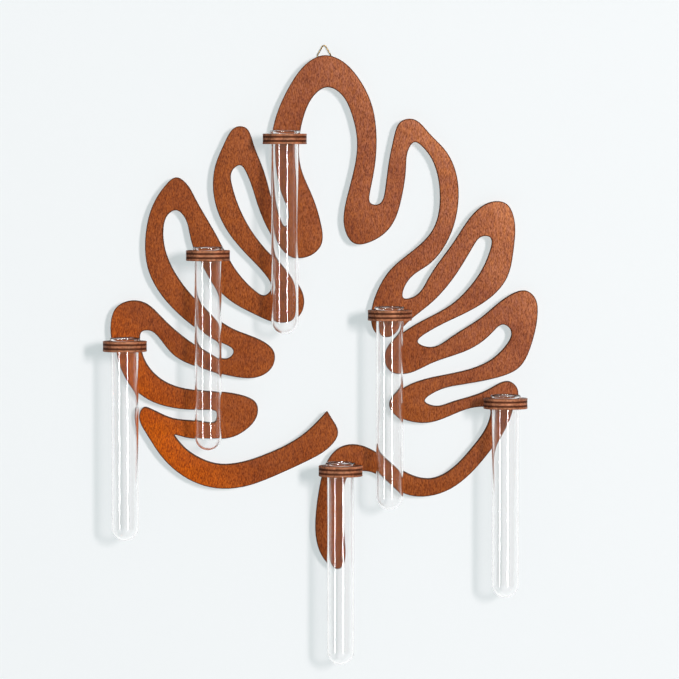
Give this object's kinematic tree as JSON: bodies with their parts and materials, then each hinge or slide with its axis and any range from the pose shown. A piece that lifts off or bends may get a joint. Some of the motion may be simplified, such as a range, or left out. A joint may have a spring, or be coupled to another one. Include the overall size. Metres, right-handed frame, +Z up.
{
  "type": "wall-hung propagation vase",
  "caption": "Wall-hung plywood leaf board with rings that hold round-bottomed glass tubes for plant cuttings, hung by a wire triangle.",
  "frame": {"origin": "the point of the hanger ring's inner apex that bears on the wall nail", "axes": "+Z up the wall, -Y out of the wall towards the viewer, +X to the viewer's right"},
  "size_m": [0.3209, 0.0432, 0.4573],
  "materials": {
    "stained_plywood": "reddish brown stain, matt",
    "clear_glass": "clear, polished",
    "brass": "plain drawn wire and sheet"
  },
  "bodies": {
    "board": {"leaf_board": "stained_plywood", "tube_ring_top": "stained_plywood", "tube_ring_upper_left": "stained_plywood", "tube_ring_left": "stained_plywood", "tube_ring_centre_right": "stained_plywood", "tube_ring_right": "stained_plywood", "tube_ring_stem": "stained_plywood", "hanger_strap": "brass", "hanger_screw": "brass"},
    "tube_top": {"glass_tube_top": "clear_glass"},
    "tube_upper_left": {"glass_tube_upper_left": "clear_glass"},
    "tube_left": {"glass_tube_left": "clear_glass"},
    "tube_centre_right": {"glass_tube_centre_right": "clear_glass"},
    "tube_right": {"glass_tube_right": "clear_glass"},
    "tube_stem": {"glass_tube_stem": "clear_glass"},
    "hanger": {"hanger_ring": "brass"}
  },
  "joints": [
    {"name": "lift_top", "type": "slide", "parent": "board", "child": "tube_top", "axis": [0, 0, 1], "range_m": [0, 0.155]},
    {"name": "lift_upper_left", "type": "slide", "parent": "board", "child": "tube_upper_left", "axis": [0, 0, 1], "range_m": [0, 0.155]},
    {"name": "lift_left", "type": "slide", "parent": "board", "child": "tube_left", "axis": [0, 0, 1], "range_m": [0, 0.155]},
    {"name": "lift_centre_right", "type": "slide", "parent": "board", "child": "tube_centre_right", "axis": [0, 0, 1], "range_m": [0, 0.155]},
    {"name": "lift_right", "type": "slide", "parent": "board", "child": "tube_right", "axis": [0, 0, 1], "range_m": [0, 0.155]},
    {"name": "lift_stem", "type": "slide", "parent": "board", "child": "tube_stem", "axis": [0, 0, 1], "range_m": [0, 0.155]},
    {"name": "hanger_pivot", "type": "hinge", "parent": "board", "child": "hanger", "pos_m": [0, 0, -0.00839], "axis": [-1, 0, 0], "range_deg": [0, 160]}
  ]
}
